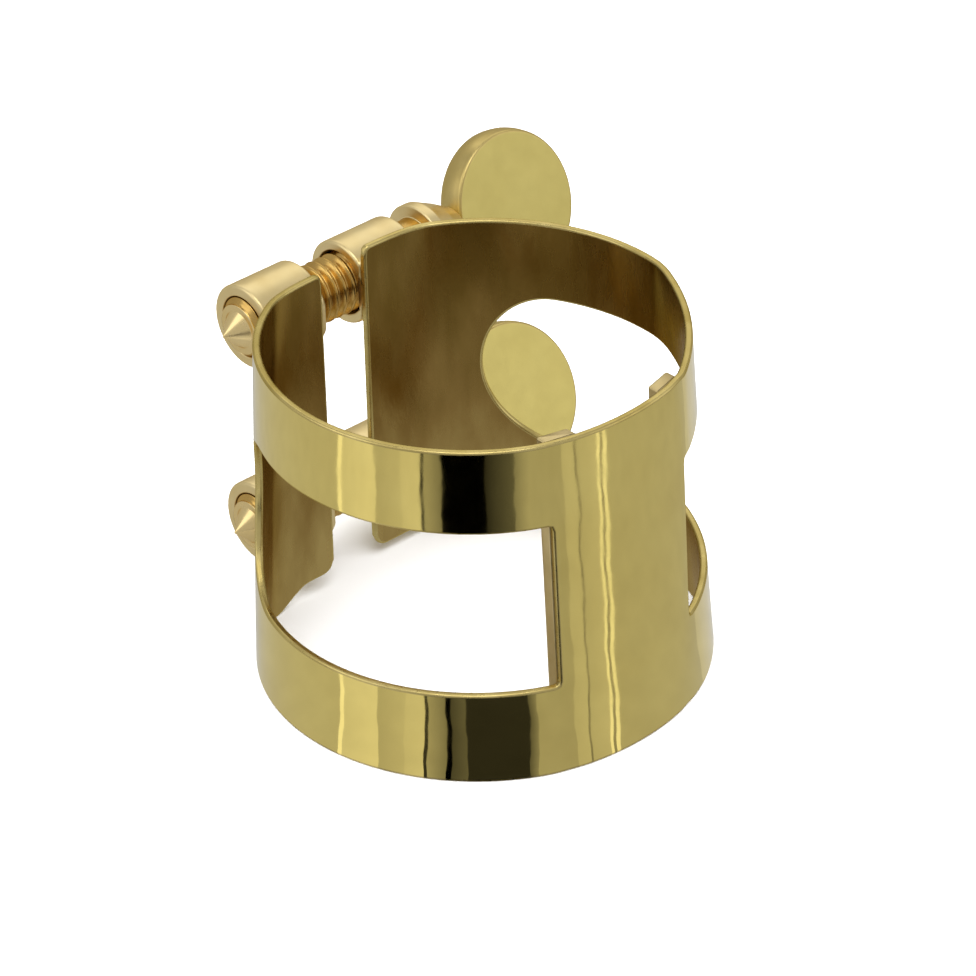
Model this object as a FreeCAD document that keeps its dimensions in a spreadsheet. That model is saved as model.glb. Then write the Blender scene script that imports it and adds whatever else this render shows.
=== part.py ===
"""Two-screw ligature for an alto saxophone mouthpiece, in sheet and turned brass.

Frame: +Z is the mouthpiece axis, z = 0 is the plane of the wider rim that the
ligature stands on. The reed plate faces -Y, the gap between the band's two ends
faces +Y, and both thumbscrews lie along X with their heads at +X.
"""
import FreeCAD, Part
import math
import os

import Sketcher

DIMENSIONS = {
    # band: one bent sheet
    "band_height": 23.0,
    "radius_top": 13.5,
    "radius_bottom": 14.35,
    "sheet": 0.5,
    "plate_half": 5.6,
    "plate_radius": 17.0,
    "side_top": 22.0,
    "side_bottom": 16.0,
    "side_join": 1.9,
    # the guide side stands further out at the back than the nut side
    "full_x": 0.75,
    "full_y": 0.45,
    "full_grow": 0.1,
    "plane_nut": 12.5,
    "plane_guide": 13.1,
    "gap_nut": 1.9,
    "gap_guide": 2.1,
    "foot_nut": 1.1,
    "foot_guide": 0.6,
    "level_nut": 4.4,
    "level_guide": 5.1,
    "reach_nut": 6.6,
    "reach_guide": 7.3,
    # gap between the end plates, and the swept lower corners beside it
    "gap_corner": 0.5,
    "foot_corner": 1.0,
    # windows; the guide side's reaches further back than the nut side's
    "window_low": 6.2,
    "window_high": 17.4,
    "window_front": 5.45,
    "window_guide": 5.2,
    "window_nut": 4.2,
    # reed rails
    "rail_inner": 3.3,
    "rail_outer": 5.35,
    "rail_thick": 0.9,
    "rail_inset": 0.1,
    "solder": 0.03,
    # posts
    "post_y": 15.15,
    "post_radius": 2.8,
    "post_chamfer": 0.25,
    "nut_left": -5.8,
    "nut_length": 4.6,
    "nut_bore": 2.05,
    "guide_left": 2.1,
    "guide_length": 4.7,
    "guide_bore": 2.15,
    # thumbscrews
    "screw_low": 5.0,
    "screw_high": 19.5,
    "tip_start": -7.5,
    "tip_length": 1.3,
    "tip_radius": 1.25,
    "thread_radius": 2.0,
    "thread_pitch": 0.7,
    "thread_depth": 0.38,
    "thread_end": 3.6,
    "groove_half": 0.294,
    "groove_over": 0.05,
    "shank_radius": 1.95,
    "flange_start": 8.6,
    "flange_width": 0.7,
    "flange_radius": 2.8,
    "neck_start": 10.6,
    "neck_radius": 2.2,
    "neck_end": 12.2,
    "neck_end_radius": 1.35,
    "paddle_centre": 16.45,
    "paddle_wide": 4.8,
    "paddle_tall": 5.0,
    "paddle_thick": 2.1,
    "paddle_edge": 0.3,
    "tilt_low": 29.0,
    "tilt_high": 20.7,
    # how far a cutting outline runs past the material
    "cut_margin": 1.0,
}

doc = FreeCAD.newDocument("saxophone_ligature")


def make_sheet():
    """Put every driving dimension in the spreadsheet, one aliased cell each."""
    table = doc.addObject("Spreadsheet::Sheet", "dims")
    for row, (alias, value) in enumerate(DIMENSIONS.items(), start=1):
        table.set(f"A{row}", alias)
        table.set(f"B{row}", str(value))
        table.setAlias(f"B{row}", alias)
    doc.recompute()
    return table


dims = make_sheet()


def size(alias):
    """The value of one cell as a float."""
    return float(dims.get(alias))


def evaluate(expression):
    """The value of a sheet expression as a float."""
    return float(dims.evalExpression(expression.replace("dims.", "")))


def new_body(label):
    """An empty body whose label names its exported file."""
    body = doc.addObject("PartDesign::Body", label)
    body.Label = label
    return body


def plane_of(body, role):
    """One of the body's own origin planes or axes."""
    return next(item for item in body.Origin.OriginFeatures if item.Role == role)


def new_sketch(body, name, plane, height=None):
    """A sketch on one origin plane of the body, optionally raised by an expression."""
    sketch = body.newObject("Sketcher::SketchObject", name)
    sketch.AttachmentSupport = [(plane_of(body, plane), "")]
    sketch.MapMode = "FlatFace"
    if height is not None:
        sketch.setExpression("AttachmentOffset.Base.z", height)
    return sketch


def point(x, y):
    return FreeCAD.Vector(x, y, 0)


def arc_between(centre, radius, start, end):
    """Anticlockwise arc about centre from the direction of start to that of end."""
    first = math.atan2(start.y - centre.y, start.x - centre.x)
    last = math.atan2(end.y - centre.y, end.x - centre.x)
    circle = Part.Circle(centre, FreeCAD.Vector(0, 0, 1), radius)
    return Part.ArcOfCircle(circle, first, last if last > first else last + 2 * math.pi)


def add_dimension(sketch, kind, where, value, expression):
    """Add a driving constraint and bind it to an expression of the sheet."""
    index = sketch.addConstraint(Sketcher.Constraint(kind, *where, value))
    sketch.setExpression(f"Constraints[{index}]", expression)


def join_ends(sketch, pairs):
    for first, first_end, second, second_end in pairs:
        sketch.addConstraint(Sketcher.Constraint("Coincident", first, first_end, second, second_end))


def place_point(sketch, element, end, x, x_expression, y, y_expression):
    """Fix a sketch point by its signed distances from the sketch origin."""
    add_dimension(sketch, "DistanceX", (-1, 1, element, end), x, x_expression)
    add_dimension(sketch, "DistanceY", (-1, 1, element, end), y, y_expression)


def band_outline(body, name, level, inset, height):
    """Plan outline of the band at one height: wall circle, reed plate, flatter
    +X side, the fuller wall behind it, and the two end plates at +Y."""
    minus = " - dims.sheet" if inset else ""
    sheet = size("sheet") if inset else 0.0
    wall = size(f"radius_{level}") - sheet
    plate = size("plate_radius") - sheet
    side = size(f"side_{level}") - sheet
    full = wall + size("full_grow")
    nut_y = size("plane_nut") - sheet
    guide_y = size("plane_guide") - sheet
    half = size("plate_half") * wall / size(f"radius_{level}")
    join_y = -size("side_join")

    def full_x_at(y):
        return size("full_x") + math.sqrt(full ** 2 - (y - size("full_y")) ** 2)

    left = point(-half, -math.sqrt(wall ** 2 - half ** 2))
    right = point(half, left.y)
    join = point(full_x_at(join_y), join_y)
    plate_centre = point(0, left.y + math.sqrt(plate ** 2 - half ** 2))
    chord = join.sub(right)
    middle = right.add(join).multiply(0.5)
    rise = math.sqrt(side ** 2 - (chord.Length / 2) ** 2)
    inward = point(-chord.y, chord.x).normalize()
    side_centre = middle.add(inward.multiply(rise))

    sketch = new_sketch(body, name, "XY_Plane", height)
    full_centre = point(size("full_x"), size("full_y"))
    end_left = point(-math.sqrt(wall ** 2 - nut_y ** 2), nut_y)
    end_right = point(full_x_at(guide_y), guide_y)
    step_guide = point(-sheet, guide_y)
    step_nut = point(-sheet, nut_y)
    left_wall = sketch.addGeometry(arc_between(point(0, 0), wall, end_left, left))
    front = sketch.addGeometry(arc_between(plate_centre, plate, left, right))
    flat_side = sketch.addGeometry(arc_between(side_centre, side, right, join))
    full_wall = sketch.addGeometry(arc_between(full_centre, full, join, end_right))
    guide_end = sketch.addGeometry(Part.LineSegment(end_right, step_guide))
    step = sketch.addGeometry(Part.LineSegment(step_guide, step_nut))
    nut_end = sketch.addGeometry(Part.LineSegment(step_nut, end_left))

    start, end, centre = 1, 2, 3
    sketch.addConstraint(Sketcher.Constraint("Coincident", left_wall, centre, -1, 1))
    join_ends(sketch, [
        (left_wall, end, front, start),
        (front, end, flat_side, start),
        (flat_side, end, full_wall, start),
        (full_wall, end, guide_end, start),
        (guide_end, end, step, start),
        (step, end, nut_end, start),
        (nut_end, end, left_wall, start),
    ])
    for line in (guide_end, nut_end):
        sketch.addConstraint(Sketcher.Constraint("Horizontal", line))
    sketch.addConstraint(Sketcher.Constraint("Vertical", step))
    sketch.addConstraint(Sketcher.Constraint("PointOnObject", front, centre, -2))
    wall_rule = f"dims.radius_{level}{minus}"
    half_rule = f"dims.plate_half * ({wall_rule}) / dims.radius_{level}"
    add_dimension(sketch, "Radius", (left_wall,), wall, wall_rule)
    add_dimension(sketch, "Radius", (front,), plate, f"dims.plate_radius{minus}")
    add_dimension(sketch, "Radius", (flat_side,), side, f"dims.side_{level}{minus}")
    add_dimension(sketch, "Radius", (full_wall,), full, f"{wall_rule} + dims.full_grow")
    place_point(sketch, full_wall, centre, full_centre.x, "dims.full_x", full_centre.y, "dims.full_y")
    place_point(sketch, step, start, -sheet, "-dims.sheet" if inset else "0 mm",
                guide_y, f"dims.plane_guide{minus}")
    add_dimension(sketch, "DistanceY", (-1, 1, step, end), nut_y, f"dims.plane_nut{minus}")
    add_dimension(sketch, "DistanceX", (-1, 1, front, start), -half, f"-{half_rule}")
    add_dimension(sketch, "DistanceX", (-1, 1, front, end), half, half_rule)
    add_dimension(sketch, "DistanceY", (-1, 1, flat_side, end), join_y, "-dims.side_join")
    return sketch


def loft(body, name, kind, bottom, top):
    feature = body.newObject(kind, name)
    feature.Profile = bottom
    feature.Sections = [top]
    feature.Ruled = True
    return feature


def gap_sketch(body):
    """Front view of what is cut from the +Y wall: the gap, its rounded top
    corners, and the sweep from each end plate down to the bottom rim."""
    height = size("band_height")
    corner = size("gap_corner")
    turn = size("foot_corner")
    over = size("cut_margin")

    sketch = new_sketch(body, "gap_outline", "XZ_Plane")
    for sign, end_plate in ((1, "guide"), (-1, "nut")):
        gap = size(f"gap_{end_plate}")
        foot = size(f"foot_{end_plate}")
        level = size(f"level_{end_plate}")
        reach = size(f"reach_{end_plate}")
        top_centre = point(sign * (gap + corner), height - corner)
        top_low = point(sign * gap, height - corner)
        top_high = point(sign * (gap + corner), height)
        foot_centre = point(sign * (gap + turn), foot + turn)
        foot_high = point(sign * gap, foot + turn)
        foot_low = point(sign * (gap + turn), foot)
        sweep_start = point(sign * level, foot)
        sweep_end = point(sign * reach, 0)
        if sign > 0:
            top_arc = arc_between(top_centre, corner, top_high, top_low)
            foot_arc = arc_between(foot_centre, turn, foot_high, foot_low)
        else:
            top_arc = arc_between(top_centre, corner, top_low, top_high)
            foot_arc = arc_between(foot_centre, turn, foot_low, foot_high)
        pieces = [
            Part.LineSegment(point(0, height + over), point(sign * (gap + corner), height + over)),
            Part.LineSegment(point(sign * (gap + corner), height + over), top_high),
            top_arc,
            Part.LineSegment(top_low, foot_high),
            foot_arc,
            Part.LineSegment(foot_low, sweep_start),
            Part.LineSegment(sweep_start, sweep_end),
            Part.LineSegment(sweep_end, point(sign * reach, -over)),
            Part.LineSegment(point(sign * reach, -over), point(0, -over)),
        ]
        lid, top_side, top_turn, edge, foot_turn, level_line, sweep, drop, base = [
            sketch.addGeometry(piece) for piece in pieces
        ]
        start, end, centre = 1, 2, 3
        top_up, top_down = (start, end) if sign > 0 else (end, start)
        foot_up, foot_down = (start, end) if sign > 0 else (end, start)
        join_ends(sketch, [
            (lid, end, top_side, start),
            (top_side, end, top_turn, top_up),
            (top_turn, top_down, edge, start),
            (edge, end, foot_turn, foot_up),
            (foot_turn, foot_down, level_line, start),
            (level_line, end, sweep, start),
            (sweep, end, drop, start),
            (drop, end, base, start),
        ])
        for element in (lid, base):
            sketch.addConstraint(Sketcher.Constraint("Horizontal", element))
        for element in (top_side, drop):
            sketch.addConstraint(Sketcher.Constraint("Vertical", element))
        minus = "" if sign > 0 else "-"
        place_point(sketch, top_turn, centre,
                    sign * (gap + corner), f"{minus}(dims.gap_{end_plate} + dims.gap_corner)",
                    height - corner, "dims.band_height - dims.gap_corner")
        place_point(sketch, edge, start,
                    sign * gap, f"{minus}dims.gap_{end_plate}",
                    height - corner, "dims.band_height - dims.gap_corner")
        add_dimension(sketch, "DistanceX", (-1, 1, top_turn, top_up),
                      sign * (gap + corner), f"{minus}(dims.gap_{end_plate} + dims.gap_corner)")
        place_point(sketch, foot_turn, centre,
                    sign * (gap + turn), f"{minus}(dims.gap_{end_plate} + dims.foot_corner)",
                    foot + turn, f"dims.foot_{end_plate} + dims.foot_corner")
        place_point(sketch, edge, end,
                    sign * gap, f"{minus}dims.gap_{end_plate}",
                    foot + turn, f"dims.foot_{end_plate} + dims.foot_corner")
        add_dimension(sketch, "DistanceX", (-1, 1, foot_turn, foot_down),
                      sign * (gap + turn), f"{minus}(dims.gap_{end_plate} + dims.foot_corner)")
        place_point(sketch, level_line, end,
                    sign * level, f"{minus}dims.level_{end_plate}",
                    foot, f"dims.foot_{end_plate}")
        add_dimension(sketch, "DistanceX", (-1, 1, sweep, end), sign * reach, f"{minus}dims.reach_{end_plate}")
        sketch.addConstraint(Sketcher.Constraint("PointOnObject", sweep, end, -1))
        sketch.addConstraint(Sketcher.Constraint("PointOnObject", lid, start, -2))
        sketch.addConstraint(Sketcher.Constraint("PointOnObject", base, end, -2))
        add_dimension(sketch, "DistanceY", (-1, 1, lid, start), height + over,
                      "dims.band_height + dims.cut_margin")
        add_dimension(sketch, "DistanceY", (-1, 1, base, end), -over, "-dims.cut_margin")
    return sketch


def window_sketch(body, side):
    """Side view of one window, on a plane just outside the reed plate, which gives
    the window its straight upright edge. Its other end is half round, about a
    centre that lies further back on the guide side than on the nut side."""
    low = size("window_low")
    high = size("window_high")
    middle = (high + low) / 2
    round_y = size(f"window_{side}")
    round_rule = f"dims.window_{side}"
    outside = -size("radius_bottom") - size("cut_margin")
    plane_x = "dims.window_front" if side == "guide" else "-dims.window_front"

    sketch = new_sketch(body, f"window_{side}_outline", "YZ_Plane", plane_x)
    bottom = sketch.addGeometry(Part.LineSegment(point(outside, low), point(round_y, low)))
    end_arc = sketch.addGeometry(arc_between(
        point(round_y, middle), middle - low, point(round_y, low), point(round_y, high)))
    top = sketch.addGeometry(Part.LineSegment(point(round_y, high), point(outside, high)))
    front = sketch.addGeometry(Part.LineSegment(point(outside, high), point(outside, low)))
    start, end, centre = 1, 2, 3
    join_ends(sketch, [
        (bottom, end, end_arc, start),
        (end_arc, end, top, start),
        (top, end, front, start),
        (front, end, bottom, start),
    ])
    sketch.addConstraint(Sketcher.Constraint("Horizontal", bottom))
    sketch.addConstraint(Sketcher.Constraint("Horizontal", top))
    sketch.addConstraint(Sketcher.Constraint("Vertical", front))
    place_point(sketch, end_arc, centre, round_y, round_rule,
                middle, "(dims.window_high + dims.window_low) / 2")
    place_point(sketch, bottom, end, round_y, round_rule, low, "dims.window_low")
    add_dimension(sketch, "DistanceX", (-1, 1, top, start), round_y, round_rule)
    add_dimension(sketch, "DistanceX", (-1, 1, front, end), outside,
                  "-dims.radius_bottom - dims.cut_margin")
    return sketch


def cut_through(body, name, sketch, length, reverse=False, both_ways=False):
    """A pocket that must remove material, whichever way its plane faces."""
    before = body.Tip.Shape.Volume if body.Tip else 0.0
    pocket = body.newObject("PartDesign::Pocket", name)
    pocket.Profile = sketch
    pocket.Type = 0
    pocket.setExpression("Length", length)
    pocket.Midplane = both_ways
    pocket.Reversed = reverse
    doc.recompute()
    if pocket.Shape.Volume >= before - 1e-6:
        raise RuntimeError(f"{body.Label}: {name} removed nothing")
    return pocket


def make_band():
    body = new_body("band")
    outer_low = band_outline(body, "outer_bottom", "bottom", False, "0 mm")
    outer_high = band_outline(body, "outer_top", "top", False, "dims.band_height")
    loft(body, "outer_wall", "PartDesign::AdditiveLoft", outer_low, outer_high)
    doc.recompute()
    inner_low = band_outline(body, "inner_bottom", "bottom", True, "0 mm")
    inner_high = band_outline(body, "inner_top", "top", True, "dims.band_height")
    loft(body, "inner_wall", "PartDesign::SubtractiveLoft", inner_low, inner_high)
    doc.recompute()
    cut_through(body, "gap_cut", gap_sketch(body), "2 * dims.radius_bottom")
    for side, towards_plus_x in (("guide", True), ("nut", False)):
        cut_through(body, f"window_{side}", window_sketch(body, side), "dims.radius_bottom",
                    reverse=towards_plus_x)
    return body


def rail_outline(body, name, side, radius_alias, height):
    """Plan outline of one reed rail: its back follows the inside of the reed
    plate, and its face is flat."""
    wall = size(radius_alias)
    half = size("plate_half")
    plate = size("plate_radius")
    centre_y = math.sqrt(plate ** 2 - half ** 2) - math.sqrt(wall ** 2 - half ** 2)
    centre_rule = (f"sqrt(dims.plate_radius ^ 2 - dims.plate_half ^ 2)"
                   f" - sqrt(dims.{radius_alias} ^ 2 - dims.plate_half ^ 2)")
    back = plate - size("sheet") - size("solder")
    face = back - size("rail_thick")
    centre = point(0, centre_y)

    def on_arc(x, radius):
        return point(x, centre_y - math.sqrt(radius ** 2 - x ** 2))

    near = side * size("rail_inner")
    far = side * size("rail_outer")
    sketch = new_sketch(body, name, "XY_Plane", height)
    first, last = (near, far) if side > 0 else (far, near)
    back_arc = sketch.addGeometry(arc_between(centre, back, on_arc(first, back), on_arc(last, back)))
    outer_end = sketch.addGeometry(Part.LineSegment(on_arc(last, back), on_arc(last, face)))
    face_line = sketch.addGeometry(Part.LineSegment(on_arc(last, face), on_arc(first, face)))
    inner_end = sketch.addGeometry(Part.LineSegment(on_arc(first, face), on_arc(first, back)))
    start, end, middle = 1, 2, 3
    join_ends(sketch, [
        (back_arc, end, outer_end, start),
        (outer_end, end, face_line, start),
        (face_line, end, inner_end, start),
        (inner_end, end, back_arc, start),
    ])
    sketch.addConstraint(Sketcher.Constraint("PointOnObject", back_arc, middle, -2))
    add_dimension(sketch, "DistanceY", (-1, 1, back_arc, middle), centre_y, centre_rule)
    add_dimension(sketch, "Radius", (back_arc,), back, "dims.plate_radius - dims.sheet - dims.solder")
    sketch.addConstraint(Sketcher.Constraint("Vertical", outer_end))
    sketch.addConstraint(Sketcher.Constraint("Vertical", inner_end))
    sign = "" if side > 0 else "-"
    names = ("rail_inner", "rail_outer") if side > 0 else ("rail_outer", "rail_inner")
    add_dimension(sketch, "DistanceX", (-1, 1, back_arc, start), first, f"{sign}dims.{names[0]}")
    add_dimension(sketch, "DistanceX", (-1, 1, back_arc, end), last, f"{sign}dims.{names[1]}")
    for line in (outer_end, inner_end):
        index = sketch.addConstraint(
            Sketcher.Constraint("Distance", line, abs(on_arc(first, face).y - on_arc(first, back).y)))
        sketch.setExpression(f"Constraints[{index}]", "dims.rail_thick")
    return sketch


def make_rail(label, side):
    body = new_body(label)
    low = rail_outline(body, "rail_bottom", side, "radius_bottom", "dims.rail_inset")
    high = rail_outline(body, "rail_top", side, "radius_top", "dims.band_height - dims.rail_inset")
    loft(body, "rail", "PartDesign::AdditiveLoft", low, high)
    doc.recompute()
    return body


def turned_section(body, name, corners):
    """Closed half section above the X axis. Each corner is a distance along the
    axis and a radius, both as sheet expressions; a radius of None is on the axis."""
    values = [(evaluate(x_rule), evaluate(radius_rule) if radius_rule else 0.0)
              for x_rule, radius_rule in corners]
    sketch = new_sketch(body, name, "XZ_Plane")
    count = len(corners)
    lines = []
    for index in range(count):
        here = point(*values[index])
        following = point(*values[(index + 1) % count])
        lines.append(sketch.addGeometry(Part.LineSegment(here, following)))
    for index, line in enumerate(lines):
        following = lines[(index + 1) % count]
        sketch.addConstraint(Sketcher.Constraint("Coincident", line, 2, following, 1))
    for line, (x_rule, radius_rule), (x, radius) in zip(lines, corners, values):
        add_dimension(sketch, "DistanceX", (-1, 1, line, 1), x, x_rule)
        if radius_rule is None:
            sketch.addConstraint(Sketcher.Constraint("PointOnObject", line, 1, -1))
        else:
            add_dimension(sketch, "DistanceY", (-1, 1, line, 1), radius, radius_rule)
    return sketch


def turn(body, name, sketch):
    """Revolve a half section about the body's X axis."""
    turned = body.newObject("PartDesign::Revolution", name)
    turned.Profile = sketch
    turned.ReferenceAxis = (plane_of(body, "X_Axis"), [""])
    turned.Angle = 360
    doc.recompute()
    return turned


def rectangle(body, name, low_x, low_y, high_x, high_y):
    """Rectangle on the body's XY plane between two corners given as expressions."""
    low = point(evaluate(low_x), evaluate(low_y))
    high = point(evaluate(high_x), evaluate(high_y))
    corners = [low, point(high.x, low.y), high, point(low.x, high.y)]
    sketch = new_sketch(body, name, "XY_Plane")
    lines = [sketch.addGeometry(Part.LineSegment(corners[i], corners[(i + 1) % 4])) for i in range(4)]
    for i, line in enumerate(lines):
        sketch.addConstraint(Sketcher.Constraint("Coincident", line, 2, lines[(i + 1) % 4], 1))
        sketch.addConstraint(Sketcher.Constraint("Horizontal" if i % 2 == 0 else "Vertical", line))
    place_point(sketch, lines[0], 1, low.x, low_x, low.y, low_y)
    place_point(sketch, lines[1], 2, high.x, high_x, high.y, high_y)
    return sketch


def make_post(label, kind, screw_alias):
    """One soldered post: a bored, chamfered stub along X with a flat foot that
    sits on the end plate."""
    body = new_body(label)
    length = f"dims.{kind}_length"
    bore = f"dims.{kind}_bore"
    edge = "dims.post_chamfer"
    outside = "dims.post_radius"
    section = turned_section(body, "post_section", [
        ("0", f"{bore} + {edge}"),
        ("0", f"{outside} - {edge}"),
        (edge, outside),
        (f"{length} - {edge}", outside),
        (length, f"{outside} - {edge}"),
        (length, f"{bore} + {edge}"),
        (f"{length} - {edge}", bore),
        (edge, bore),
    ])
    turn(body, "post", section)
    foot = rectangle(body, "foot_outline", "-dims.cut_margin", f"-({outside} + dims.cut_margin)",
                     f"{length} + dims.cut_margin", f"dims.plane_{kind} - dims.post_y")
    cut_through(body, "foot", foot, f"4 * {outside}", both_ways=True)
    body.setExpression("Placement.Base.x", f"dims.{kind}_left")
    body.setExpression("Placement.Base.y", "dims.post_y")
    body.setExpression("Placement.Base.z", f"dims.{screw_alias}")
    doc.recompute()
    return body


def spindle_section(body):
    """Half section of the turned spindle, from its cone tip to its neck."""
    shoulder = "dims.tip_start + dims.tip_length"
    crest = "dims.thread_radius"
    flange_end = "dims.flange_start + dims.flange_width"
    return turned_section(body, "spindle_section", [
        ("dims.tip_start", None),
        (shoulder, "dims.tip_radius"),
        (shoulder, f"{crest} - dims.thread_depth"),
        (f"{shoulder} + dims.thread_depth", crest),
        ("dims.thread_end", crest),
        ("dims.thread_end", "dims.shank_radius"),
        ("dims.flange_start", "dims.shank_radius"),
        ("dims.flange_start", "dims.flange_radius"),
        (flange_end, "dims.flange_radius"),
        ("dims.neck_start", "dims.neck_radius"),
        ("dims.neck_end", "dims.neck_end_radius"),
        ("dims.neck_end", None),
    ])


def thread_groove(body):
    """V groove of the right-hand thread, run along the threaded stretch."""
    depth = size("thread_depth")
    top = size("thread_radius")
    pitch = size("thread_pitch")
    start = size("tip_start") + size("tip_length") - pitch
    over = size("groove_over")
    half = size("groove_half")
    sketch = new_sketch(body, "groove_section", "XZ_Plane")
    corners = [point(start - half, top + over), point(start, top - depth), point(start + half, top + over)]
    lines = [sketch.addGeometry(Part.LineSegment(corners[i], corners[(i + 1) % 3])) for i in range(3)]
    for i in range(3):
        sketch.addConstraint(Sketcher.Constraint("Coincident", lines[i], 2, lines[(i + 1) % 3], 1))
    base = "dims.tip_start + dims.tip_length - dims.thread_pitch"
    place_point(sketch, lines[0], 1, start - half, f"{base} - dims.groove_half",
                top + over, "dims.thread_radius + dims.groove_over")
    place_point(sketch, lines[1], 1, start, base,
                top - depth, "dims.thread_radius - dims.thread_depth")
    place_point(sketch, lines[2], 1, start + half, f"{base} + dims.groove_half",
                top + over, "dims.thread_radius + dims.groove_over")
    before = body.Tip.Shape.Volume
    helix = body.newObject("PartDesign::SubtractiveHelix", "thread")
    helix.Profile = sketch
    helix.ReferenceAxis = (plane_of(body, "X_Axis"), [""])
    helix.Mode = 0
    helix.setExpression("Pitch", "dims.thread_pitch")
    helix.setExpression("Height", "dims.thread_end - dims.tip_start - dims.tip_length")
    helix.LeftHanded = False
    doc.recompute()
    if helix.Shape.Volume >= before:
        raise RuntimeError(f"{body.Label}: the thread removed nothing")
    return helix


def place_on_screw_axis(body, height):
    """Stand a thumbscrew piece on the low or high axis, its paddle leaning outward."""
    body.Placement.Rotation = FreeCAD.Rotation(FreeCAD.Vector(1, 0, 0), -size(f"tilt_{height}"))
    body.setExpression("Placement.Rotation.Angle", f"dims.tilt_{height}")
    body.setExpression("Placement.Base.y", "dims.post_y")
    body.setExpression("Placement.Base.z", f"dims.screw_{height}")


def make_spindle(label, height):
    body = new_body(label)
    turn(body, "turned_spindle", spindle_section(body))
    thread_groove(body)
    half_slot = "(dims.paddle_thick / 2 + dims.solder)"
    slot = rectangle(body, "slot_outline",
                     "dims.paddle_centre - dims.paddle_wide - dims.solder", f"-{half_slot}",
                     "dims.neck_end + dims.cut_margin", half_slot)
    cut_through(body, "paddle_slot", slot, "4 * dims.neck_radius", both_ways=True)
    place_on_screw_axis(body, height)
    doc.recompute()
    return body


def make_paddle(label, height):
    """The oval thumb plate, pressed from thick strip with a rounded rim."""
    body = new_body(label)
    sketch = new_sketch(body, "paddle_outline", "XZ_Plane")
    centre_x = size("paddle_centre")
    tall = size("paddle_tall")
    wide = size("paddle_wide")
    oval = Part.Ellipse(point(centre_x, tall), point(centre_x + wide, 0), point(centre_x, 0))
    outline = sketch.addGeometry(oval)
    sketch.exposeInternalGeometry(outline)
    place_point(sketch, outline, 3, centre_x, "dims.paddle_centre", 0.0, "0 mm")
    major, minor = 1, 2
    sketch.addConstraint(Sketcher.Constraint("Vertical", major))
    for axis, value, rule in ((major, 2 * tall, "2 * dims.paddle_tall"),
                              (minor, 2 * wide, "2 * dims.paddle_wide")):
        index = sketch.addConstraint(Sketcher.Constraint("Distance", axis, value))
        sketch.setExpression(f"Constraints[{index}]", rule)
    pad = body.newObject("PartDesign::Pad", "paddle")
    pad.Profile = sketch
    pad.Midplane = True
    pad.setExpression("Length", "dims.paddle_thick")
    doc.recompute()
    rim = [f"Edge{number}" for number, edge in enumerate(pad.Shape.Edges, start=1)
           if isinstance(edge.Curve, Part.Ellipse)]
    fillet = body.newObject("PartDesign::Fillet", "paddle_rim")
    fillet.Base = (pad, rim)
    fillet.setExpression("Radius", "dims.paddle_edge")
    place_on_screw_axis(body, height)
    doc.recompute()
    return body


def check_document(bodies):
    """Stop if any object failed or any sub-part is empty or invalid."""
    for item in doc.Objects:
        if "Invalid" in item.State or "Error" in item.State:
            raise RuntimeError(f"{item.Name} is {item.State}")
    for body in bodies:
        if body.Shape.isNull() or not body.Shape.isValid():
            raise RuntimeError(f"{body.Label} has no valid shape")
        if len(body.Shape.Solids) != 1:
            raise RuntimeError(f"{body.Label} has {len(body.Shape.Solids)} solids")


bodies = [make_band(), make_rail("reed_rail_left", -1), make_rail("reed_rail_right", 1)]
for level in ("lower", "upper"):
    height = "low" if level == "lower" else "high"
    screw = f"screw_{height}"
    bodies.append(make_post(f"nut_post_{level}", "nut", screw))
    bodies.append(make_post(f"guide_post_{level}", "guide", screw))
    bodies.append(make_spindle(f"screw_spindle_{level}", height))
    bodies.append(make_paddle(f"thumb_paddle_{level}", height))

doc.recompute()
check_document(bodies)
os.makedirs("parts", exist_ok=True)
for body in bodies:
    body.Shape.exportStep(f"parts/{body.Label}.step")
    box = body.Shape.BoundBox
    print(f"{body.Label:22s} {body.Shape.Volume:8.2f} mm3  "
          f"x {box.XMin:.2f}..{box.XMax:.2f}  y {box.YMin:.2f}..{box.YMax:.2f}  z {box.ZMin:.2f}..{box.ZMax:.2f}")
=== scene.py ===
"""Looks for the two-screw saxophone ligature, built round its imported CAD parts.

All pieces are in the row frame: +Z is the mouthpiece axis, z = 0 is the wider rim
that stands on the floor, the reed plate faces -Y, the gap faces +Y, and the
thumbscrews lie along X with their heads at +X. Lengths are worked in millimetres
and turned into metres when a mesh or a light is made.
"""

import math

import bpy
import numpy as np
from mathutils import Matrix, Vector


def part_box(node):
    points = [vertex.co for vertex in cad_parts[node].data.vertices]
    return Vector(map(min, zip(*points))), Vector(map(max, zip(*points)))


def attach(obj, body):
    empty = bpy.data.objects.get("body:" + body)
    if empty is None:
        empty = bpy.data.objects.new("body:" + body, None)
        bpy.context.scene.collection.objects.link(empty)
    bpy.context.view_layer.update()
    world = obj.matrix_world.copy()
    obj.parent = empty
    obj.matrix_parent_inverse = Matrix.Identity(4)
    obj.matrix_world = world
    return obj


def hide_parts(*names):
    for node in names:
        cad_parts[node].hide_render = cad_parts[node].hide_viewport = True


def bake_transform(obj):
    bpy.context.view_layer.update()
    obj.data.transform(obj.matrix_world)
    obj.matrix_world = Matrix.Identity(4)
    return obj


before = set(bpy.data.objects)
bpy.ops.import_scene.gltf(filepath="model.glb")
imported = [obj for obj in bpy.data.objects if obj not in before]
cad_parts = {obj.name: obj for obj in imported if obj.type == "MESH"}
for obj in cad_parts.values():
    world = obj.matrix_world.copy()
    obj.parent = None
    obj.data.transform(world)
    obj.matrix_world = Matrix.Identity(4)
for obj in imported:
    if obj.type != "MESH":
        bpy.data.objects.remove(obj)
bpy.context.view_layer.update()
MM = 0.001


def cad_box(node):
    """Lowest and highest corner of a CAD node, in millimetres."""
    low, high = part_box(node)
    return np.array(low) / MM, np.array(high) / MM


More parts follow.
